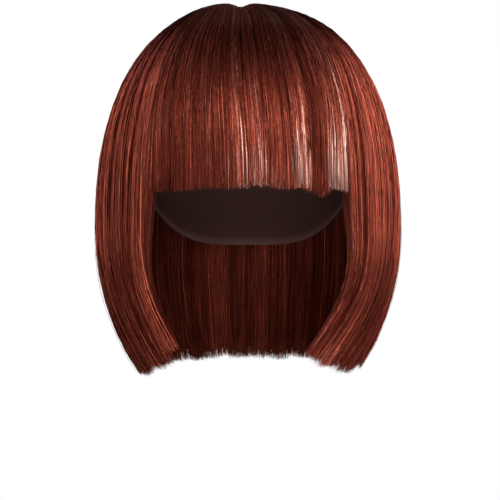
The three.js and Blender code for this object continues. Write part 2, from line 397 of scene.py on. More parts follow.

# Painted shade that darkens those colours from the whorl down, where the crown gets little light,
# with a painted greyish sheen near the whorl
STRAND_PAINTED_SHADES = (
    (0.0, (0.35, 0.56, 0.70)),
    (0.14, (0.36, 0.60, 0.76)),
    (0.25, (0.28, 0.27, 0.30)),
    (0.35, (0.27, 0.23, 0.23)),
    (0.70, (0.62, 0.54, 0.52)),
    (0.85, (0.96, 0.96, 0.96)),
    (1.0, (0.94, 0.94, 0.94)),
)
# Painted glints: the colour lighter and darker in short stretches along each strand
GLINT_SCALE = (90, 40, 1)
GLINT_NOISE = (0.25, 0.75)
GLINT_STRENGTH = (0.45, 1.55)

# Colours of the hair bodies, dark as painted shade where they show between the strands, and of the
# net
PAINTED_SHADE_BODY_COLOURS = (
    (0.3, (0.020, 0.0030, 0.0020)),
    (0.75, (0.140, 0.0230, 0.0140)),
)
BODY_STREAKS = (220, 3, 1)
NET_COLOURS = (
    (0.2, (0.030, 0.0110, 0.0085)),
    (1.0, (0.046, 0.0160, 0.0115)),
)
NET_ROWS = 60
NET_THREADS = 90
THREAD_STRENGTH = 0.3

# Sockets of Blender's Mix node for colours
COLOUR_A, COLOUR_B, COLOUR_RESULT = 6, 7, 2

# Studio, in metres
STUDIO_MIDDLE = (0, 0, -0.11)
FLOOR_HEIGHT = -0.45
FLOOR_RADIUS = 1
FLOOR_SIDES = 96
FLOOR_COLOUR = (0.62, 0.62, 0.62, 1)
FLOOR_FADE = 0.8
FLOOR_STRENGTH = 0.6
WHITE = (1, 1, 1, 1)
BACKDROP_STRENGTH = 1.0
FILL_STRENGTH = 0.1

# Lights: name, direction and height in degrees, distance, width and height, watts.
# Right and left are the picture's here.
LIGHTS = (
    ("key", 12, 22, 1.9, (0.9, 1.1), 28),
    ("side_right", 75, 24, 1.6, (1.2, 1.4), 5),
    ("side_left", -75, 20, 1.6, (1.2, 1.4), 2),
    ("rim_right", 115, 18, 1.6, (1.2, 1.6), 42),
    ("rim_left", -115, 20, 1.6, (1.2, 1.6), 26),
    ("low", 0, -42, 1.7, (1.8, 0.9), 40),
)

# Camera: straight ahead, and level
CAMERA_ASIDE = 0.0013
CAMERA_DISTANCE = 2.2
CAMERA_HEIGHT = -0.152
CAMERA_REACH = 20
VIEW_WIDTH = 0.335
SENSOR_WIDTH = 36  # in millimetres


def ease(x, low, high):
    """0 below low, 1 above high, smooth between."""
    x = np.clip((x - low) / (high - low), 0, 1)
    return x * x * (3 - 2 * x)


def follow(places, values, at):
    """Value of a table at a place, eased between its rows."""
    places, values = np.asarray(places, float), np.asarray(values, float)
    at = np.clip(at, places[0], places[-1])
    after = np.clip(np.searchsorted(places, at), 1, len(places) - 1)
    share = ease(at, places[after - 1], places[after])
    return mix(values[after - 1], values[after], share)


def glide(places, values, at):
    """Value of a table at a place, on a curve that keeps its slope through each row."""
    places, values = np.asarray(places, float), np.asarray(values, float)
    slopes = np.gradient(values, places)
    low = np.clip(np.searchsorted(places, at) - 1, 0, len(places) - 2)
    step = places[low + 1] - places[low]
    x = np.clip((at - places[low]) / step, 0, OVERRUN)
    start = (1 + 2 * x) * (1 - x) ** 2 * values[low] + x * (1 - x) ** 2 * step * slopes[low]
    end = x**2 * (3 - 2 * x) * values[low + 1] + x**2 * (x - 1) * step * slopes[low + 1]
    return start + end


def mix(a, b, share):
    """From a at share 0 to b at share 1."""
    return a + (b - a) * share


def inside(across, fade):
    """0 at both edges of a section, 1 from so far in."""
    return ease(np.minimum(across, 1 - across), 0, fade)


def wave(pace, phase, along):
    """Sine with so many turns over the whole length."""
    return np.sin(2 * math.pi * (pace * along + phase))


def form_at(turn):
    """Reach, squareness, tuck and tuck power of the outer form."""
    facing = np.cos(turn) ** 2
    ahead = np.cos(turn) > 0
    reach = np.where(ahead, FRONT_REACH, BACK_REACH)
    squareness = mix(SIDE_SQUARENESS, np.where(ahead, FRONT_SQUARENESS, BACK_SQUARENESS), facing)
    tuck = mix(SIDE_TUCK / HALF_WIDTH, np.where(ahead, FRONT_TUCK, BACK_TUCK) / reach, facing)
    power = mix(SIDE_TUCK_POWER, np.where(ahead, FRONT_TUCK_POWER, BACK_TUCK_POWER), facing)
    return reach, squareness, tuck, power


def outer_point(turn, share):
    """Outer form: a dome down to the widest level, then a skirt that turns under."""
    reach, squareness, tuck, power = form_at(turn)
    slope = np.clip(share / WIDEST_SHARE, 0, 1) * (math.pi / 2)
    below = np.clip((share - WIDEST_SHARE) / (1 - WIDEST_SHARE), 0, OVERRUN)
    dome = share < WIDEST_SHARE
    out = np.where(dome, np.sin(slope) ** (2 / squareness), 1 - tuck * below**power)
    rise = np.clip(np.cos(slope), 0, 1) ** (2 / squareness)
    drop = np.where(dome, WIDEST_DROP - DOME_HEIGHT * rise, mix(WIDEST_DROP, HEM_DROP, below))
    aside = HALF_WIDTH * out * np.sin(turn)
    ahead = reach * out * np.cos(turn)
    near = (aside / DIMPLE_HALF_WIDTH) ** 2 + (ahead / DIMPLE_HALF_LENGTH) ** 2
    shift = WHORL_OFFSET * (1 - ease(share, 0, WHORL_REACH))
    return np.stack((shift + aside, -ahead, -drop - DIMPLE_DEPTH * np.exp(-near)), axis=-1)


def unit(vector, least=1e-9):
    """Vectors of length 1, or shorter where they have almost no length."""
    return vector / np.maximum(np.linalg.norm(vector, axis=-1, keepdims=True), least)


def outer_frame(turn, share):
    """Point, outward normal and sideways direction of the outer form."""
    step = 1e-3
    point = outer_point(turn, share)
    along = outer_point(turn, share + step) - outer_point(turn, np.maximum(share - step, 0))
    across = outer_point(turn + step, share) - outer_point(turn - step, share)
    return point, unit(np.cross(along, across)), unit(across)


def share_at_drop(turn, drop):
    """Share of the outer form at so many millimetres below the origin."""
    squareness = form_at(turn)[1]
    up = np.clip((WIDEST_DROP - drop) / DOME_HEIGHT, 0, 1)
    dome = WIDEST_SHARE * np.arccos(up ** (squareness / 2)) / (math.pi / 2)
    skirt = mix(WIDEST_SHARE, 1, (drop - WIDEST_DROP) / (HEM_DROP - WIDEST_DROP))
    return np.where(drop > WIDEST_DROP, skirt, dome)


def seat_on_cap(point):
    """Moves points that lie too deep up to the seat of the hair above the cap."""
    clear = CAP_THICKNESS + SEAT_GAP
    middle = np.array((0, 0, -HEAD_CROWN_HEIGHT))
    away = point - middle
    height = np.where(away[..., 2] > 0, HEAD_CROWN_HEIGHT, HEAD_JAW_HEIGHT) + clear
    depth = np.sqrt(
        (away[..., 0] / (HEAD_HALF_BREADTH + clear)) ** 2
        + (away[..., 1] / (HEAD_HALF_LENGTH + clear)) ** 2
        + (away[..., 2] / height) ** 2
    )
    return away / np.maximum(np.minimum(depth, 1), TINY)[..., None] + middle


class Section:
    """One hair section: where its walls run and where its locks end."""

    def __init__(self, name):
        kind, start, end, free, self.strands, self.steps = SECTIONS[name]
        self.name = name
        self.kind = kind
        self.is_fringe = kind == "fringe"
        self.style = FRINGE_STYLE if self.is_fringe else HAIR_STYLE
        self.start, self.end, self.free = PARTINGS[start], PARTINGS[end], free
        table = np.array(LOCKS[kind], float)
        self.stops = np.concatenate(((0,), np.cumsum(table[:, 0]) / table[:, 0].sum()))
        self.stand, self.tip, self.cut = table[:, 1], table[:, 2], table[:, 3]

    def turn(self, across, share):
        """Direction of a place between the section's two partings, in radians."""
        start = glide(PARTING_SHARES, self.start, share)
        end = glide(PARTING_SHARES, self.end, share)
        return np.radians(mix(start, end, across))

    def off_free_edge(self, across, fade):
        """0 at the section's free edge, 1 from so far away from it."""
        return ease(np.abs(across - self.free), 0, fade)

    def lock(self, across):
        """Lock number and how near its edge each place is."""
        number = find(self.stops, across)
        place = (across - self.stops[number]) / (self.stops[number + 1] - self.stops[number])
        return number, np.clip(np.abs(2 * place - 1), 0, 1) ** LOCK_EDGE_POWER

    def end_drop(self, across, soft=False):
        """Drop of the cut edge. Soft, it passes from lock to lock without a step."""
        number, edge = self.lock(across)
        tip = self.tip[number] - LOCK_POINT * edge
        if soft:
            middles = (self.stops[:-1] + self.stops[1:]) / 2
            tip = np.interp(across, middles, self.tip) - SOFT_POINT * LOCK_POINT * edge
        if self.is_fringe:
            return FRINGE_DROP + FRINGE_RAGGEDNESS * tip
        hem_turn = np.degrees(self.turn(across, np.ones_like(across)))
        hem = HEM_DROP - HEM_LIFT * follow(HEM_TURNS, HEM_SHARES, hem_turn)
        return hem + HEM_RAGGEDNESS * tip

    def thickness(self, across, share):
        """Thickness of the hair, which is less along a free edge."""
        if self.is_fringe:
            return FRINGE_THICKNESS * follow(THICKNESS_SHARES, FRINGE_THICKNESSES, share)
        full = SIDE_THICKNESS * follow(THICKNESS_SHARES, SIDE_THICKNESSES, share)
        if self.free is None:
            return full
        least = mix(FREE_EDGE_THICKNESS, 1, self.off_free_edge(across, FREE_EDGE_FADE))
        return full * mix(1, least, ease(share, FREE_EDGE_START, JAW_SHARE))

    def walls(self, across, share, end_share, calm=1):
        """Outer and inner points, and the outer form's normal and sideways direction."""
        point, normal, sideways = outer_frame(self.turn(across, share), share)
        number, edge = self.lock(across)
        edge = edge * mix(EDGE_GROOVE, 1, inside(across, EDGE_FADE))
        thickness = self.thickness(across, share)
        relief = follow(RELIEF_SHARES, RELIEFS, share) * calm
        groove = np.minimum(GROOVE_DEPTH * relief * self.cut[number], thickness * GROOVE_LIMIT)
        rise = LOCK_RISE * relief * self.stand[number] * (1 - edge) - groove * edge
        curl = 0
        if self.is_fringe:
            curl = FRINGE_TUCK * ease(share, TUCK_START, end_share) ** 2
            curl = curl * mix(EDGE_TUCK, 1, inside(across, EDGE_TUCK_FADE))
        outer = point + normal * (rise - curl)[..., None]
        inner = seat_on_cap(point - normal * (thickness + curl)[..., None])
        return outer, inner, normal, sideways


def new_object(name, vertices, faces):
    """Smooth mesh object from vertices in millimetres."""
    mesh = bpy.data.meshes.new(name)
    mesh.vertices.add(len(vertices))
    mesh.vertices.foreach_set("co", (np.asarray(vertices, np.float32) * MM).ravel())
    faces = np.asarray(faces, np.int32)
    mesh.loops.add(faces.size)
    mesh.loops.foreach_set("vertex_index", faces.ravel())
    mesh.polygons.add(len(faces))
    mesh.polygons.foreach_set("loop_start", np.arange(len(faces), dtype=np.int32) * faces.shape[1])
    mesh.polygons.foreach_set("use_smooth", np.ones(len(faces), bool))
    mesh.update(calc_edges=True)
    mesh.validate()
    obj = bpy.data.objects.new(name, mesh)
    bpy.context.collection.objects.link(obj)
    return obj


def set_uv(obj, name, uv_of_vertex):
    """Adds a map in which each vertex has one place."""
    layer = obj.data.uv_layers.new(name=name)
    index = np.empty(len(obj.data.loops), np.int32)
    obj.data.loops.foreach_get("vertex_index", index)
    layer.data.foreach_set("uv", np.asarray(uv_of_vertex, np.float32)[index].ravel())


def wall_faces(rows, columns, is_ring):
    """Quads of a closed wall between an outer and an inner grid, or of a ring of wall."""
    outer = np.arange(rows * columns).reshape(rows, columns)
    if is_ring:
        outer = np.concatenate((outer, outer[:, :1]), axis=1)
    inner = outer + rows * columns
    ends = [
        (outer[:-1, 0], inner[:-1, 0], inner[1:, 0], outer[1:, 0]),
        (outer[:-1, -1], outer[1:, -1], inner[1:, -1], inner[:-1, -1]),
    ]
    corners = [
        (outer[:-1, :-1], outer[1:, :-1], outer[1:, 1:], outer[:-1, 1:]),
        (inner[:-1, :-1], inner[:-1, 1:], inner[1:, 1:], inner[1:, :-1]),
        *([] if is_ring else ends),
        (outer[0, :-1], outer[0, 1:], inner[0, 1:], inner[0, :-1]),
        (outer[-1, :-1], inner[-1, :-1], inner[-1, 1:], outer[-1, 1:]),
    ]
    return np.concatenate([np.stack(four, -1).reshape(-1, 4) for four in corners])


def wall_object(name, outer, inner, lay, material, is_ring=False):
    """Closed wall between two grids of points, with both sides laid alike in its map."""
    points = np.concatenate((outer.reshape(-1, 3), inner.reshape(-1, 3)))
    obj = new_object(name, points, wall_faces(*outer.shape[:2], is_ring))
    lay = np.stack(lay, -1).reshape(-1, 2)
    set_uv(obj, LAY_MAP, np.concatenate((lay, lay)))
    obj.data.materials.append(material)
    return obj


def hair_body(section, material):
    """Closed inner body of a section, sunk a little below its strands."""
    across, down = np.meshgrid(
        np.linspace(-BODY_OVERLAP, 1 + BODY_OVERLAP, BODY_COLUMNS),
        np.linspace(0, 1, BODY_ROWS),
    )
    turn = section.turn(across, np.full_like(across, BROW_SHARE))
    end_share = share_at_drop(turn, section.end_drop(across) - BODY_SHORTENING)
    share = mix(2 * ROOT_START, end_share, down)
    outer, inner, _, _ = section.walls(across, share, end_share)
    thickness = np.linalg.norm(outer - inner, axis=-1, keepdims=True)
    sink = np.minimum(BODY_SINK, thickness * BODY_SINK_LIMIT) / np.maximum(thickness, TINY)
    sink = sink * mix(1, BODY_HEM_SINK, ease(down, *BODY_HEM_SPAN))[..., None]
    sunk = mix(outer, inner, sink)
    raised = mix(inner, outer, sink * BODY_INNER_SINK)
    obj = wall_object(section.name + "_body", sunk, raised, (across, share), material)
    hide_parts(section.name)
    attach(obj, "root")


def divide(section, rng, fewest, most):
    """Edges of small bunches of hair, so many in each lock."""
    edges = [0.0]
    for low, high in zip(section.stops[:-1], section.stops[1:]):
        widths = rng.uniform(*BUNCH_WIDTHS, rng.integers(fewest, most))
        edges.extend(low + (high - low) * np.cumsum(widths) / widths.sum())
    return np.array(edges)


def bunches(section, rng):
    """Bunches a few millimetres wide, and what sets each one apart."""
    calm = section.style.bunch_calm
    edges = divide(section, rng, *section.style.bunches)
    count = len(edges) - 1
    return edges, {
        "length": rng.normal(0, BUNCH_LENGTH * calm, count),
        "sink": rng.uniform(0, BUNCH_SINK * calm, count),
        "tone": rng.normal(0, BUNCH_TONE * calm, count),
        "gap": rng.uniform(0, 1, count) * calm,
    }


def fine_locks(section, rng):
    """Fine locks a millimetre or two wide, and what sets each one apart."""
    edges = divide(section, rng, *FINE_LOCKS)
    count = len(edges) - 1
    return edges, {
        "length": rng.normal(0, FINE_LENGTH, count),
        "sink": rng.uniform(0, FINE_SINK, count),
        "tone": rng.normal(0, FINE_TONE, count),
        "pace": rng.uniform(*FINE_PACE, count),
        "phase": rng.uniform(0, 1, count),
        "roll": rng.normal(0, FINE_ROLL, count),
        "pull": rng.uniform(*FINE_PULL, count),
    }


def find(edges, across):
    """Number of the stretch between two edges that each place falls in."""
    return np.clip(np.searchsorted(edges, across) - 1, 0, len(edges) - 2)


def share_out(edges, values, across):
    """Each place's own values, and the middle and width of the stretch it falls in."""
    which = find(edges, across)
    middle = (edges[which] + edges[which + 1]) / 2
    width = edges[which + 1] - edges[which]
    return {key: column[which] for key, column in values.items()}, middle, width


class Strands:
    """What sets each strand of a section apart, with one value for each strand."""

    def __init__(self, section, rng):
        count = section.strands
        self.section = section
        self.style = section.style
        self.across = rng.uniform(0, 1, count)
        is_wall = np.zeros(count, bool)
        if section.free is not None:
            is_wall = rng.uniform(0, 1, count) < WALL_CHANCE
            on_wall = abs(section.free - WALL_WIDTH * self.across)
            self.across = np.where(is_wall, on_wall, self.across)
        self.bunch, middle, width = share_out(*bunches(section, rng), self.across)
        self.place = 2 * (self.across - middle) / width
        self.fine, self.middle, _ = share_out(*fine_locks(section, rng), self.across)
        self.lock, self.edge = section.lock(self.across)
        layer = rng.uniform(0, 1, count)
        self.is_inner = (layer > INNER_ABOVE) & ~is_wall
        self.is_middle = is_wall | (layer > MIDDLE_ABOVE) & ~self.is_inner
        self.is_bold = layer < BOLD_BELOW
        self.turn = section.turn(self.across, np.full(count, BROW_SHARE))
        self.root = self.roots(rng)
        self.end = self.ends(rng)
        self.tone = self.tones(rng)
        self.roll = self.rolls(rng)
        self.streak_highlight = self.paint_streak_highlights(rng)

    def roots(self, rng):
        """Long top strands start at the whorl, and the ones under them lower down."""
        under = share_at_drop(self.turn, np.full(len(self.across), self.style.under_drop))
        top = ROOT_START + ROOT_SPREAD * rng.uniform(0, 1, len(self.across)) ** 2
        return np.where(self.is_inner, under, top)

    def ends(self, rng):
        """Share at which each strand ends, a little above or below the cut edge."""
        count = len(self.across)
        shorter = np.abs(rng.normal(0, self.style.raggedness, count))
        shorter = shorter + self.style.looseness * rng.uniform(0, 1, count) ** LOOSE_POWER
        middle = mix(*MIDDLE_SHORTER, rng.uniform(0, 1, count))
        shorter = shorter + np.where(self.is_middle, middle, 0)
        drop = self.section.end_drop(self.across, soft=True) - shorter + END_GAIN
        drop = drop + self.fine["length"] + self.bunch["length"]
        return share_at_drop(self.turn, drop)

    def tones(self, rng):
        """Tone of each strand from its lock and bunch, with painted shade by layer, gap and groove,
        and painted light near a free edge.
        """
        lock_tone = rng.normal(0, LOCK_TONE, len(self.section.cut))
        lock_tone = np.array(LOCK_TONES.get(self.section.name, lock_tone))
        tone = MIDDLE_TONE + (SIDE_TONE if self.section.kind == "side" else 0) + lock_tone[self.lock]
        tone = tone + self.bunch["tone"] + self.fine["tone"]
        spread = self.style.tone_spread
        tone = tone + spread * rng.normal(0, STRAND_TONE, len(self.across))
        tone = tone + spread * self.is_bold * rng.normal(0, BOLD_TONE, len(self.across))
        # Painted shade in the gaps between bunches and in the grooves between locks
        tone = tone - GAP_SHADE * self.bunch["gap"] * np.abs(self.place) ** GAP_POWER
        tone = tone - GROOVE_SHADE * self.edge**2 * inside(self.across, EDGE_FADE)
        # Painted light near a free edge, most on its shaded wall
        if self.section.free is not None:
            near = 1 - self.section.off_free_edge(self.across, FREE_EDGE_PAINTED_LIGHT_FADE)
            lift = FREE_EDGE_PAINTED_LIGHT + FREE_EDGE_MIDDLE_PAINTED_LIGHT * self.is_middle
            tone = tone + near * (lift + FREE_EDGE_INNER_PAINTED_LIGHT * self.is_inner)
        # Painted shade on the deeper middle and inner layers
        return tone - MIDDLE_SHADE * self.is_middle - INNER_SHADE * self.is_inner

    def tones_along(self, rng, s, share):
        """Tone at each point, so that streaks fade in and out along the hair."""
        count = len(self.across)
        pace, phase = self.fine["pace"][:, None], self.fine["phase"][:, None]
        tone = self.tone[:, None] + TONE_WAVE * wave(pace, phase, s)
        pace, phase = rng.uniform(*STRAND_PACE, (2, count, 1))
        tone = tone + TONE_WAVE * wave(pace, phase, s)
        if not self.section.is_fringe:
            # Less painted groove shade high up, where the grooves close
            closed = HIGH_GROOVE_LESS_SHADE * self.edge**2 * inside(self.across, EDGE_FADE)
            tone = tone + closed[:, None] * (1 - ease(share, *GROOVE_SPAN))
        if self.section.kind == "temple":
            # Painted sheen high on the temple locks, painted light along their free edge, and painted
            # shade on that edge low down
            tone = tone + TEMPLE_PAINTED_SHEEN * ease(share, *SHEEN_SPAN) * (1 - ease(share, *SHEEN_END_SPAN))
            near = 1 - self.section.off_free_edge(self.across, TEMPLE_EDGE_FADE)[:, None]
            tone = tone + TEMPLE_EDGE_PAINTED_LIGHT * near
            tone = tone - TEMPLE_EDGE_PAINTED_SHADE * near * ease(share, *TEMPLE_EDGE_SPAN)
        tone = np.clip(tone, 0, self.style.palest)
        if self.section.is_fringe:
            tone = self.fringe_tones(rng, tone, s, share)
        else:
            tone = tone + TIP_TONE * ease(s, *TIP_SPAN)
        return np.clip(tone, 0, TONE_LIMIT)

    def fringe_tones(self, rng, tone, s, share):
        """Tones with the painted highlight streaks, painted shade on the tips at the right end, and
        painted light showing through thin tips elsewhere.
        """
        right = 1 - ease(self.across, *RIGHT_END)
        # Painted shade on the tips at the right end
        tone = tone - RIGHT_TIP_PAINTED_SHADE * right[:, None] * ease(s, *RIGHT_TIP_SPAN)
        # Painted highlight streaks
        tone = tone + self.streak_highlight[:, None] * ease(share, *PALE_SPAN)
        # Painted light showing through thin tips, more often on lighter locks
        chance = LIGHT_TIP_CHANCE + LIGHT_TIP_GAIN * np.array(LOCK_TONES["fringe"])[self.lock]
        chance = np.clip(chance, *LIGHT_TIP_CHANCES) * (1 - right)
        gets_tip_light = rng.uniform(0, 1, len(self.across)) < chance
        return tone + FRINGE_TIP_PAINTED_LIGHT * gets_tip_light[:, None] * ease(s, *LIGHT_TIP_SPAN)

    def paint_streak_highlights(self, rng):
        """How much lighter each fringe strand gets from the painted highlight streaks."""
        across = self.across + rng.normal(0, PALE_SPREAD, len(self.across))
        lighter = np.zeros(len(self.across))
        for place, strength in PAINTED_HIGHLIGHT_STREAKS:
            near = 1 - np.abs(across - place) / PALE_HALF_WIDTH
            lighter = np.maximum(lighter, strength * near)
        return lighter * self.section.is_fringe

    def rolls(self, rng):
        """Turn of each ribbon about its own length, so that each lock looks round."""
        round_bunch = BUNCH_ROLL * self.place * self.style.bunch_roll
        return round_bunch + self.fine["roll"] + rng.normal(0, STRAND_ROLL, len(self.across))

    def depths(self, rng, share, full):
        """Depth of each point under the outer form, in millimetres."""
        count = len(self.across)
        relief = follow(RELIEF_SHARES, RELIEFS, share) * (1 - HEM_CALM * ease(share, *HEM_CALM_SPAN))
        depth = TOP_DEPTH + TOP_SPREAD * rng.uniform(0, 1, count) ** TOP_POWER
        depth = depth + ROOT_DEPTH * self.root / ROOT_SPREAD
        sunk = self.fine["sink"] + self.bunch["sink"]
        sunk = sunk + GAP_DEPTH * self.bunch["gap"] * np.abs(self.place) ** GAP_POWER
        parted = self.style.groove * self.edge * inside(self.across, EDGE_FADE)
        parted = parted[:, None] * mix(CROWN_GROOVE, 1, ease(share, *GROOVE_SPAN))
        depth = depth[:, None] + (sunk[:, None] + parted) * relief + self.weave(rng, share)
        middle = full * rng.uniform(*MIDDLE_LAYER, count)[:, None]
        inner = full - rng.uniform(*INNER_LAYER, count)[:, None]
        depth = np.where(self.is_bold[:, None], BOLD_DEPTH * depth, depth)
        depth = np.where(self.is_middle[:, None], middle, depth)
        return np.where(self.is_inner[:, None], inner, depth)

    def weave(self, rng, share):
        """Slow rise and fall of each strand through its neighbours, in millimetres."""
        pace = rng.uniform(*WEAVE_PACE, (len(self.across), 1))
        phase = rng.uniform(0, 1, (len(self.across), 1))
        return WEAVE_DEPTH * (1 + wave(pace, phase, share)) * ease(share, *WEAVE_SPAN)


def strand_points(strands, rng):
    """Points and normals of all the strands of a section, and the share at each point."""
    section = strands.section
    count = section.strands
    s = np.linspace(0, 1, section.steps + 1)[None, :]
    share = mix(strands.root[:, None], strands.end[:, None], s)
    pull = strands.fine["pull"][:, None] * ease(share, *PULL_SPAN)
    wide = strands.across[:, None] + (strands.middle - strands.across)[:, None] * pull
    wide = overlap(section, wide)
    end = strands.end[:, None]
    outer, inner, normal, sideways = section.walls(wide, share, end, section.style.relief)
    full = np.linalg.norm(outer - inner, axis=-1)
    depth = strands.depths(rng, share, full)
    is_late = (strands.root > LATE_ROOT) & ~strands.is_inner
    depth = depth + LATE_DEPTH * is_late[:, None] * (1 - ease(s, *LATE_SPAN))
    depth = np.clip(depth, LEAST_DEPTH, np.maximum(full - INNER_CLEARANCE, THINNEST))
    point = mix(outer, inner, (depth / np.maximum(full, TINY))[..., None])
    aside = sway_of(rng, strands, s, share)
    point = point + sideways * aside[..., None]
    is_stray = rng.uniform(0, 1, count) > STRAY_ABOVE
    if section.free is not None:
        is_stray = is_stray & (np.abs(strands.across - section.free) > STRAY_CLEARANCE)
    stray = is_stray[:, None] * ease(s, *STRAY_SPAN)
    point = point + normal * (stray * rng.uniform(*STRAY_LIFT, count)[:, None])[..., None]
    point = point + sideways * (stray * rng.normal(0, STRAY_DRIFT, count)[:, None])[..., None]
    return point, normal, s, share


def overlap(section, across):
    """Lets strands cross a little into the next section, but not past a free edge."""
    low = FREE_EDGE_INSET if section.free == 0 else -OVERLAP
    high = 1 - FREE_EDGE_INSET if section.free == 1 else 1 + OVERLAP
    return mix(low, high, across)


def sway_of(rng, strands, s, share):
    """Slow sideways wander of each strand, in millimetres."""
    count = len(strands.across)
    phase = rng.uniform(0, 2 * math.pi, count)[:, None]
    pace = rng.uniform(*SWAY_PACE, count)[:, None]
    size = rng.uniform(*SWAY_SIZE, count)[:, None]
    sway = size * np.sin(2 * math.pi * pace * s + phase) * ease(s, *SWAY_SPAN)
    # Strands of the painted highlight streaks drift less
    calm = np.clip(PALE_CALM * strands.streak_highlight, 0, PALE_CALM_LIMIT)
    drift = rng.normal(0, DRIFT, count) * (1 - calm)
    if strands.section.free is not None:
        off = strands.section.off_free_edge(strands.across, FREE_EDGE_DRIFT_FADE)
        drift = drift * mix(FREE_EDGE_DRIFT, 1, off)
    if not strands.section.is_fringe:
        return sway + drift[:, None] * ease(share, *DRIFT_SPAN)
    lean = FRINGE_LEAN * ease(strands.across, *LEAN_SPAN)
    lean = lean * (1 - LEAN_LOSS * ease(strands.across, *LEAN_LOSS_SPAN))
    drift = FRINGE_DRIFT * drift * inside(strands.across, FRINGE_DRIFT_FADE)
    return sway + (drift + lean)[:, None] * ease(share, *FRINGE_DRIFT_SPAN)


def hair_strands(section, rng, material):
    """Fine flat ribbons, each rolled by its own angle."""
    strands = Strands(section, rng)
    point, normal, s, share = strand_points(strands, rng)
    count, steps = section.strands, section.steps
    tangent = unit(np.gradient(point, axis=1))
    side = unit(np.cross(tangent, normal))
    up = np.cross(side, tangent)
    roll = strands.roll[:, None] + rng.normal(0, STRAND_TWIST, count)[:, None] * s
    facing = np.cos(roll)[..., None] * side + np.sin(roll)[..., None] * up
    width = rng.uniform(*RIBBON_WIDTHS, count) * np.where(strands.is_bold, BOLD_WIDTH, 1)
    width = width[:, None] * mix(ROOT_WIDTH, 1, ease(s, *ROOT_WIDTH_SPAN))
    width = width * mix(1, TIP_WIDTH, ease(s, *TIP_WIDTH_SPAN))
    half = facing * (width / 2)[..., None]
    vertices = np.stack((point - half, point + half), axis=2).reshape(-1, 3)
    base = (np.arange(count) * (steps + 1) * 2)[:, None] + (np.arange(steps) * 2)[None, :]
    faces = np.stack((base, base + 1, base + 3, base + 2), -1).reshape(-1, 4)
    obj = new_object(section.name + "_strands", vertices, faces)
    tone = strands.tones_along(rng, s, share)[..., None]
    u = TONE_START + TONE_RANGE * tone + np.array(RIBBON_COLUMNS)
    # Row in the map: painted shade, darkest near the whorl and fading out down the span
    dark_to, full_from = section.style.painted_shade_span
    shade = np.clip((share - dark_to) / (full_from - dark_to), 0, 1)
    shade = mix(shade, s, OWN_LENGTH_SHADE)[..., None]
    v = np.broadcast_to(SHADE_START + SHADE_RANGE * shade, (count, steps + 1, 2))
    set_uv(obj, STRAND_MAP, np.stack((u, v), -1).reshape(-1, 2))
    obj.data.materials.append(material)
    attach(obj, "root")


def rim_drop(turn):
    """How far the cap's rim lies below the origin."""
    behind = (1 - np.cos(turn)) / 2
    front = mix(CAP_FRONT_DROP, CAP_EAR_DROP, ease(behind, 0, 0.5))
    back = mix(CAP_EAR_DROP, CAP_NAPE_DROP, ease(behind, 0.5, 1))
    return np.where(behind < 0.5, front, back)


def cap_point(turn, share, thickness):
    """Point so far outside the hollow, at a share of the way down to the rim."""
    rim = rim_drop(turn)
    high = np.arccos(np.clip(1 - rim / HEAD_CROWN_HEIGHT, -1, 1))
    low = math.pi / 2 + np.arcsin(np.clip((rim - HEAD_CROWN_HEIGHT) / HEAD_JAW_HEIGHT, 0, 1))
    slope = share * np.where(rim < HEAD_CROWN_HEIGHT, high, low)
    height = np.where(slope < math.pi / 2, HEAD_CROWN_HEIGHT, HEAD_JAW_HEIGHT)
    return np.stack((
        (HEAD_HALF_BREADTH + thickness) * np.sin(slope) * np.sin(turn),
        -(HEAD_HALF_LENGTH + thickness) * np.sin(slope) * np.cos(turn),
        (height + thickness) * np.cos(slope) - HEAD_CROWN_HEIGHT,
    ), axis=-1)


def net_cap(material):
    """Thin bowl with a slightly thicker band along its rim."""
    turn, share = np.meshgrid(
        np.linspace(0, 2 * math.pi, CAP_COLUMNS, endpoint=False),
        np.linspace(CAP_TOP_SHARE, 1, CAP_ROWS),
    )
    band = CAP_BAND_RISE * ease(share, *CAP_BAND_SPAN)
    outer = cap_point(turn, share, CAP_THICKNESS - NET_INSET + band)
    inner = cap_point(turn, share, NET_INSET - band)
    lay = (turn / (2 * math.pi), share)
    obj = wall_object("net_cap", outer, inner, lay, material, is_ring=True)
    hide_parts("cap")
    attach(obj, "root")


def new_material(name, roughness, specular, tint=(1, 1, 1), metallic=0):
    """New material, with its nodes, links and shader."""
    material = bpy.data.materials.new(name)
    material.use_nodes = True
    nodes = material.node_tree.nodes
    shader = nodes["Principled BSDF"]
    shader.inputs["Roughness"].default_value = roughness
    shader.inputs["Specular IOR Level"].default_value = specular
    shader.inputs["Specular Tint"].default_value = (*tint, 1)
    shader.inputs["Metallic"].default_value = metallic
    return material, nodes, material.node_tree.links, shader


def uv_node(nodes, name):
    """Node that reads the map of that name."""
    node = nodes.new("ShaderNodeUVMap")
    node.uv_map = name
    return node


def ramp(nodes, stops):
    """Colour ramp with two or more stops, each a place and a colour."""
    node = nodes.new("ShaderNodeValToRGB")
    elements = node.color_ramp.elements
    for place, colour in stops[1:-1]:
        elements.new(place).color = (*colour, 1)
    for element, (place, colour) in ((elements[0], stops[0]), (elements[-1], stops[-1])):
        element.position = place
        element.color = (*colour, 1)
    return node


def stretched_noise(nodes, links, uv, scale, detail, dimensions):
    """Noise stretched along the hair."""
    stretch = nodes.new("ShaderNodeMapping")
    stretch.inputs["Scale"].default_value = scale
    links.new(uv.outputs["UV"], stretch.inputs["Vector"])
    noise = nodes.new("ShaderNodeTexNoise")
    noise.noise_dimensions = dimensions
    noise.inputs["Scale"].default_value = 1
    noise.inputs["Detail"].default_value = detail
    links.new(stretch.outputs["Vector"], noise.inputs["Vector"])
    return noise


def add_bump(nodes, links, height, shader, strength, distance):
    """Fine relief on a shader, from a height."""
    bump = nodes.new("ShaderNodeBump")
    bump.inputs["Strength"].default_value = strength
    bump.inputs["Distance"].default_value = distance
    links.new(height, bump.inputs["Height"])
    links.new(bump.outputs["Normal"], shader.inputs["Normal"])


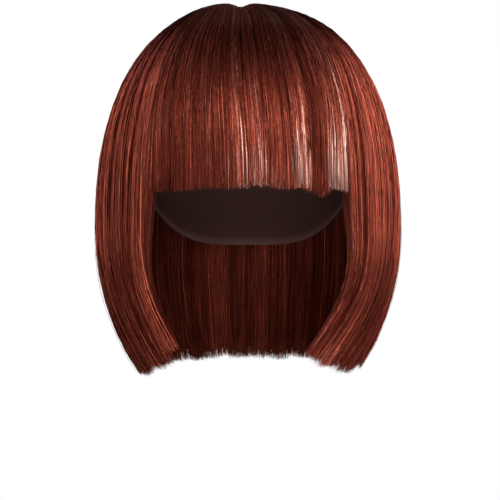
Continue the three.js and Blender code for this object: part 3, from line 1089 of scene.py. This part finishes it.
def strand_material():
    """Each strand's tone is its column in the map, and its length runs up the map, whose rows carry
    painted shade.
    """
    material, nodes, links, shader = new_material(
        "hair_strand", roughness=0.44, specular=0.2, tint=(1, 0.45, 0.32), metallic=0.7
    )
    uv = uv_node(nodes, STRAND_MAP)
    split = nodes.new("ShaderNodeSeparateXYZ")
    links.new(uv.outputs["UV"], split.inputs["Vector"])
    tone = ramp(nodes, STRAND_COLOURS)
    links.new(split.outputs["X"], tone.inputs["Fac"])
    # Painted shade along each strand, darkest over the crown
    along = ramp(nodes, STRAND_PAINTED_SHADES)
    links.new(split.outputs["Y"], along.inputs["Fac"])
    blend = nodes.new("ShaderNodeMix")
    blend.data_type = "RGBA"
    blend.blend_type = "MULTIPLY"
    blend.inputs["Factor"].default_value = 1
    links.new(tone.outputs["Color"], blend.inputs[COLOUR_A])
    links.new(along.outputs["Color"], blend.inputs[COLOUR_B])
    glint = painted_glints(nodes, links, uv)
    vary = nodes.new("ShaderNodeVectorMath")
    vary.operation = "SCALE"
    links.new(blend.outputs[COLOUR_RESULT], vary.inputs["Vector"])
    links.new(glint.outputs["Result"], vary.inputs["Scale"])
    links.new(vary.outputs["Vector"], shader.inputs["Base Color"])
    return material


def painted_glints(nodes, links, uv):
    """Painted glints: short lighter and darker stretches along each strand, where highlights break
    up.
    """
    noise = stretched_noise(nodes, links, uv, GLINT_SCALE, detail=1, dimensions="2D")
    scaled = nodes.new("ShaderNodeMapRange")
    low, high = GLINT_NOISE
    scaled.inputs["From Min"].default_value = low
    scaled.inputs["From Max"].default_value = high
    weakest, strongest = GLINT_STRENGTH
    scaled.inputs["To Min"].default_value = weakest
    scaled.inputs["To Max"].default_value = strongest
    links.new(noise.outputs["Fac"], scaled.inputs["Value"])
    return scaled


def body_material():
    """Hair body: dark as painted shade where it shows between strands, with darker streaks that run
    along the strands.
    """
    material, nodes, links, shader = new_material(
        "hair_body", roughness=0.6, specular=0.1, tint=(1, 0.6, 0.5), metallic=0.7
    )
    uv = uv_node(nodes, LAY_MAP)
    noise = stretched_noise(nodes, links, uv, BODY_STREAKS, detail=4, dimensions="3D")
    tone = ramp(nodes, PAINTED_SHADE_BODY_COLOURS)
    links.new(noise.outputs["Fac"], tone.inputs["Fac"])
    links.new(tone.outputs["Color"], shader.inputs["Base Color"])
    add_bump(nodes, links, noise.outputs["Fac"], shader, strength=0.5, distance=0.0006)
    return material


def cap_wave(nodes, links, uv, direction, scale):
    """Even bands across one direction of the cap's map."""
    bands = nodes.new("ShaderNodeTexWave")
    bands.bands_direction = direction
    bands.inputs["Scale"].default_value = scale
    links.new(uv.outputs["UV"], bands.inputs["Vector"])
    return bands


def cap_material():
    """Dark stretch net with close rows of stitching round it."""
    material, nodes, links, shader = new_material("net_cap", roughness=0.8, specular=0.25)
    uv = uv_node(nodes, LAY_MAP)
    rows = cap_wave(nodes, links, uv, "Y", NET_ROWS)
    threads = cap_wave(nodes, links, uv, "X", NET_THREADS)
    net = nodes.new("ShaderNodeMath")
    net.operation = "MULTIPLY_ADD"
    factor, multiplier, added = net.inputs
    multiplier.default_value = THREAD_STRENGTH
    links.new(threads.outputs["Fac"], factor)
    links.new(rows.outputs["Fac"], added)
    tone = ramp(nodes, NET_COLOURS)
    links.new(net.outputs["Value"], tone.inputs["Fac"])
    links.new(tone.outputs["Color"], shader.inputs["Base Color"])
    add_bump(nodes, links, net.outputs["Value"], shader, strength=0.3, distance=0.0003)
    return material


def add_light(name, turn, height, distance, size, power):
    """Area light at a direction and height angle, aimed at the hair's middle."""
    data = bpy.data.lights.new(name, "AREA")
    data.shape = "RECTANGLE"
    data.size, data.size_y = size
    data.energy = power
    obj = bpy.data.objects.new(name, data)
    angle, lift = math.radians(turn), math.radians(height)
    middle = Vector(STUDIO_MIDDLE)
    obj.location = middle + distance * Vector(
        (math.sin(angle) * math.cos(lift), -math.cos(angle) * math.cos(lift), math.sin(lift))
    )
    obj.rotation_euler = (middle - obj.location).to_track_quat("-Z", "Y").to_euler()
    bpy.context.collection.objects.link(obj)


def light_studio():
    """Soft lights, and a world that is white to the camera but lights the wig faintly."""
    for light in LIGHTS:
        add_light(*light)
    world = bpy.data.worlds.new("studio")
    bpy.context.scene.world = world
    world.use_nodes = True
    nodes, links = world.node_tree.nodes, world.node_tree.links
    backdrop = nodes["Background"]
    backdrop.inputs["Color"].default_value = WHITE
    backdrop.inputs["Strength"].default_value = BACKDROP_STRENGTH
    fill = nodes.new("ShaderNodeBackground")
    fill.inputs["Color"].default_value = WHITE
    fill.inputs["Strength"].default_value = FILL_STRENGTH
    path = nodes.new("ShaderNodeLightPath")
    either = nodes.new("ShaderNodeMixShader")
    factor, unseen, seen = either.inputs
    links.new(path.outputs["Is Camera Ray"], factor)
    links.new(fill.outputs["Background"], unseen)
    links.new(backdrop.outputs["Background"], seen)
    links.new(either.outputs["Shader"], nodes["World Output"].inputs["Surface"])


def floor_material():
    """Pale floor that fades out towards its edge."""
    material, nodes, links, shader = new_material("floor", roughness=0.8, specular=0.2)
    shader.inputs["Base Color"].default_value = FLOOR_COLOUR
    place = nodes.new("ShaderNodeTexCoord")
    fade = nodes.new("ShaderNodeTexGradient")
    fade.gradient_type = "SPHERICAL"
    links.new(place.outputs["Object"], fade.inputs["Vector"])
    solid = nodes.new("ShaderNodeMapRange")
    solid.inputs["To Max"].default_value = FLOOR_STRENGTH
    solid.inputs["From Max"].default_value = FLOOR_FADE
    links.new(fade.outputs["Fac"], solid.inputs["Value"])
    links.new(solid.outputs["Result"], shader.inputs["Alpha"])
    return material


def add_floor(material):
    """Floor that only the camera sees."""
    bpy.ops.mesh.primitive_circle_add(
        radius=FLOOR_RADIUS, fill_type="NGON", vertices=FLOOR_SIDES
    )
    floor = bpy.context.object
    floor.name = "floor"
    floor.location = (0, 0, FLOOR_HEIGHT)
    floor.data.materials.append(material)
    floor.visible_shadow = False
    floor.visible_diffuse = False
    floor.visible_glossy = False


def add_camera():
    """Camera straight ahead of the wig, level, at the photograph's viewing angle."""
    data = bpy.data.cameras.new("camera")
    data.sensor_width = SENSOR_WIDTH
    data.lens = SENSOR_WIDTH * CAMERA_DISTANCE / VIEW_WIDTH
    data.clip_end = CAMERA_REACH
    obj = bpy.data.objects.new("camera", data)
    obj.location = (CAMERA_ASIDE, -CAMERA_DISTANCE, CAMERA_HEIGHT)
    obj.rotation_euler = (math.pi / 2, 0, 0)
    bpy.context.collection.objects.link(obj)
    bpy.context.scene.camera = obj


def main():
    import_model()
    rng = np.random.default_rng(RANDOM_SEED)
    strand, body = strand_material(), body_material()
    for name in SECTIONS:
        section = Section(name)
        hair_body(section, body)
        hair_strands(section, rng, strand)
    net_cap(cap_material())
    add_floor(floor_material())
    light_studio()
    add_camera()
    bpy.context.scene.view_settings.view_transform = "Standard"


main()
